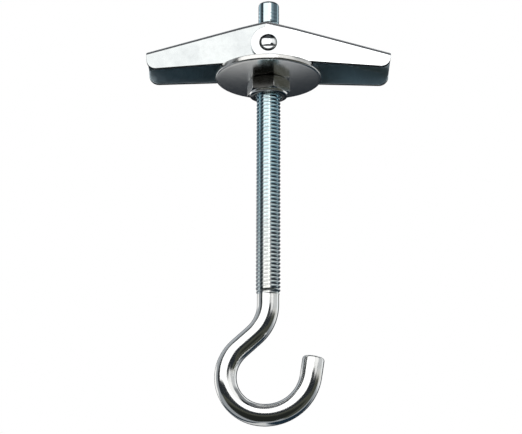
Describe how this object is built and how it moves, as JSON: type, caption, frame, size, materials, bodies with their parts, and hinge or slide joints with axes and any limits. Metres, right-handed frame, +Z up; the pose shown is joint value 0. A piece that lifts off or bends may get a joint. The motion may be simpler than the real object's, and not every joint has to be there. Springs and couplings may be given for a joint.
{
  "type": "spring toggle bolt",
  "caption": "Ceiling toggle: a threaded rod bent into a hook below, sprung channel wings on a cross nut above, and a wide washer and hexagon nut that close against the ceiling between them.",
  "frame": {"origin": "on the rod's axis, level with the top of the washer's rim, where the underside of the ceiling sits", "axes": "+Z up along the rod, from the hook to the wings; +X from the rod towards the hook's tip, in the plane of the hook; +Y along the wings' pivot, away from the side that shows the hook's tip on the right"},
  "size_m": [0.0503, 0.022, 0.0899],
  "materials": {
    "zinc_rod": "bright zinc plating",
    "zinc_sheet": "bright zinc plating",
    "zinc_washer": "bright zinc plating",
    "zinc_nut": "bright zinc plating",
    "spring_steel": "drawn wire"
  },
  "bodies": {
    "bolt": {"hook_bolt": "zinc_rod"},
    "toggle": {"trunnion": "zinc_rod", "spring": "spring_steel"},
    "left_wing": {"wing_left": "zinc_sheet"},
    "right_wing": {"wing_right": "zinc_sheet"},
    "washer": {"washer": "zinc_washer"},
    "nut": {"hex_nut": "zinc_nut"}
  },
  "joints": [
    {"name": "toggle_travel", "type": "slide", "parent": "bolt", "child": "toggle", "axis": [0, 0, 1], "range_m": [-0.014, 0.008]},
    {"name": "right_wing_fold", "type": "hinge", "parent": "toggle", "child": "right_wing", "pos_m": [0, 0, 0.0043], "axis": [0, 1, 0], "range_deg": [0, 78], "stiffness_Nm_per_rad": 0.02, "springref_deg": -14.32, "deforming": ["spring"]},
    {"name": "left_wing_fold", "type": "hinge", "parent": "toggle", "child": "left_wing", "pos_m": [0, 0, 0.0043], "axis": [0, -1, 0], "range_deg": [0, 78], "stiffness_Nm_per_rad": 0.02, "springref_deg": -14.32},
    {"name": "washer_travel", "type": "slide", "parent": "toggle", "child": "washer", "axis": [0, 0, -1], "range_m": [0, 0.0284]},
    {"name": "nut_turn", "type": "hinge", "parent": "washer", "child": "nut", "pos_m": [0, 0, -0.00345], "axis": [0, 0, -1], "range_deg": [0, 12781]}
  ],
  "couplings": [
    {"joint": "nut_turn", "follows": "washer_travel", "rad_per_m": 7854},
    {"joint": "right_wing_fold", "follows": "washer_travel", "rad_per_m": 47.93},
    {"joint": "left_wing_fold", "follows": "washer_travel", "rad_per_m": 47.93}
  ]
}
